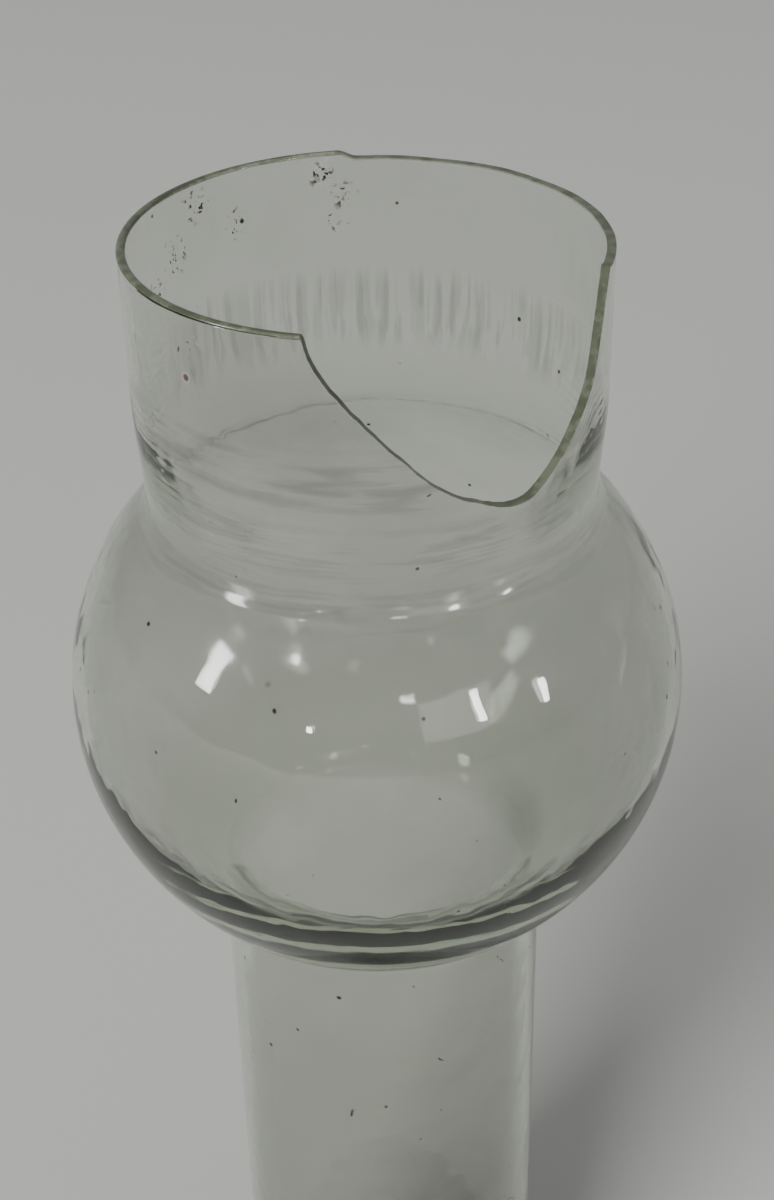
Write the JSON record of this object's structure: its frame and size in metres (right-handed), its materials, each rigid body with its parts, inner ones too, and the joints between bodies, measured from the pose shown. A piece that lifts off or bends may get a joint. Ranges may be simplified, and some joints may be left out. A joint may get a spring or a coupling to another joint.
{
  "type": "lamp chimney",
  "caption": "Clear blown-glass lamp chimney with a wide fitter, a bulged body and a narrower flue, standing on its flue end, with a piece broken out of the fitter.",
  "frame": {"origin": "centre of the flue's cut end, on the surface the chimney stands on", "axes": "+Z along the glass's axis, from the flue up to the fitter; the break in the fitter faces -Y and +X"},
  "size_m": [0.0926, 0.0926, 0.254],
  "materials": {
    "glass": "clear blown soda-lime glass, faintly green at the edges"
  },
  "bodies": {
    "root": {"flue": "glass", "bulge_floor": "glass", "bulge_lower": "glass", "bulge_upper": "glass", "fitter": "glass"}
  },
  "joints": []
}
